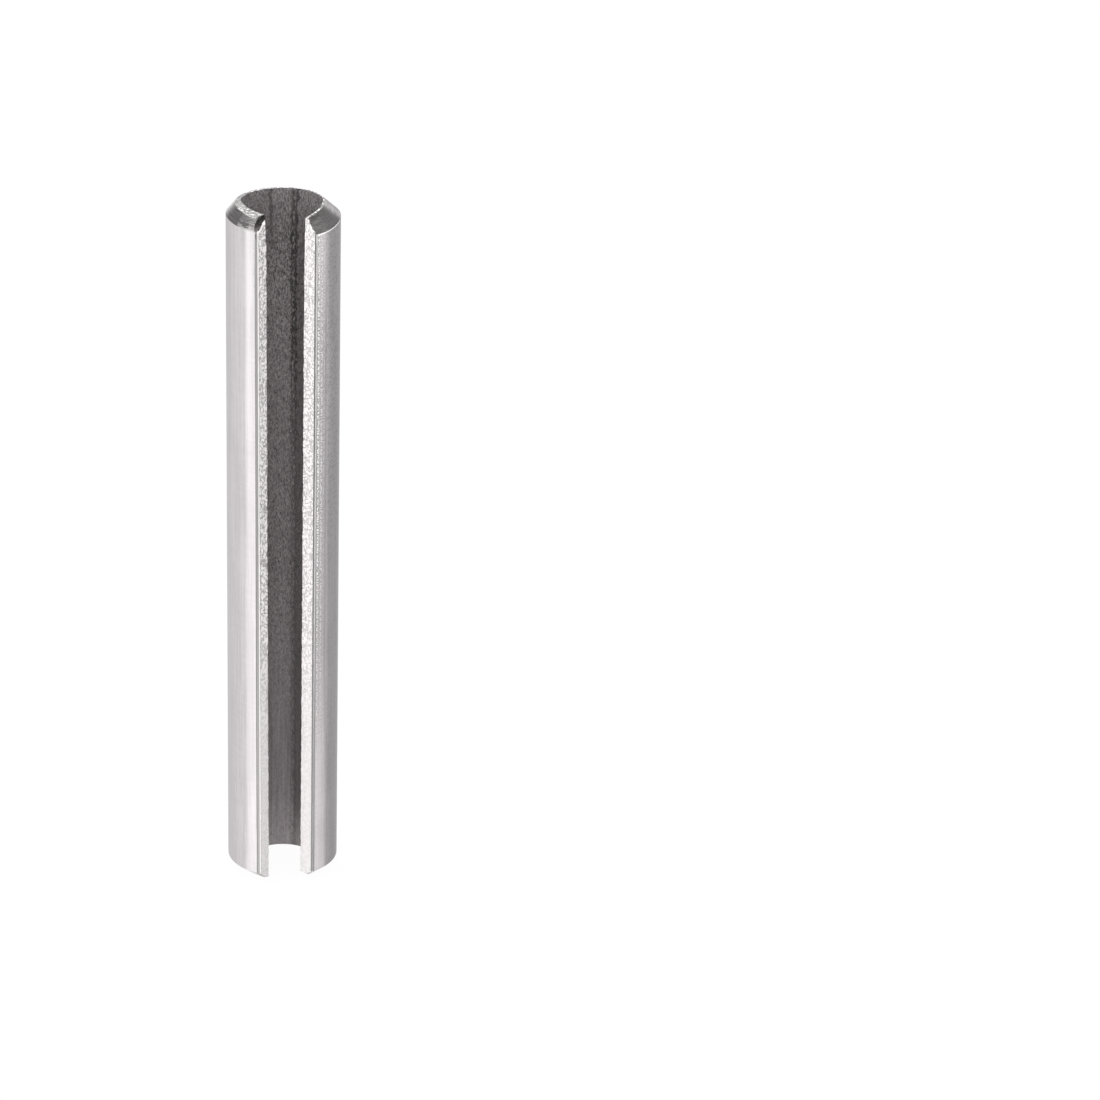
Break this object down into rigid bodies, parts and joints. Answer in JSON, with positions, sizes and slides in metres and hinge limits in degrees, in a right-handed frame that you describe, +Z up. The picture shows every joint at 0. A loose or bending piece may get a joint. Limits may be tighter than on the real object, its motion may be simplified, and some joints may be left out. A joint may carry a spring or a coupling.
{
  "type": "slotted spring roll pin",
  "caption": "Slotted spring pin: a tube rolled from spring steel strip, open along one side, with a conical lead-in at each end, driven into a hole to hold parts together.",
  "frame": {"origin": "on the pin's axis, in the plane of its lower end face", "axes": "+Z up along the pin's axis, -Y out through the middle of the slot, +X to the right when looking into the slot"},
  "size_m": [0.0084, 0.0078, 0.055],
  "materials": {
    "spring_steel": "bright rolled strip, with grainy sheared edges, darker inside the bore"
  },
  "bodies": {
    "root": {"spring_pin": "spring_steel"}
  },
  "joints": []
}
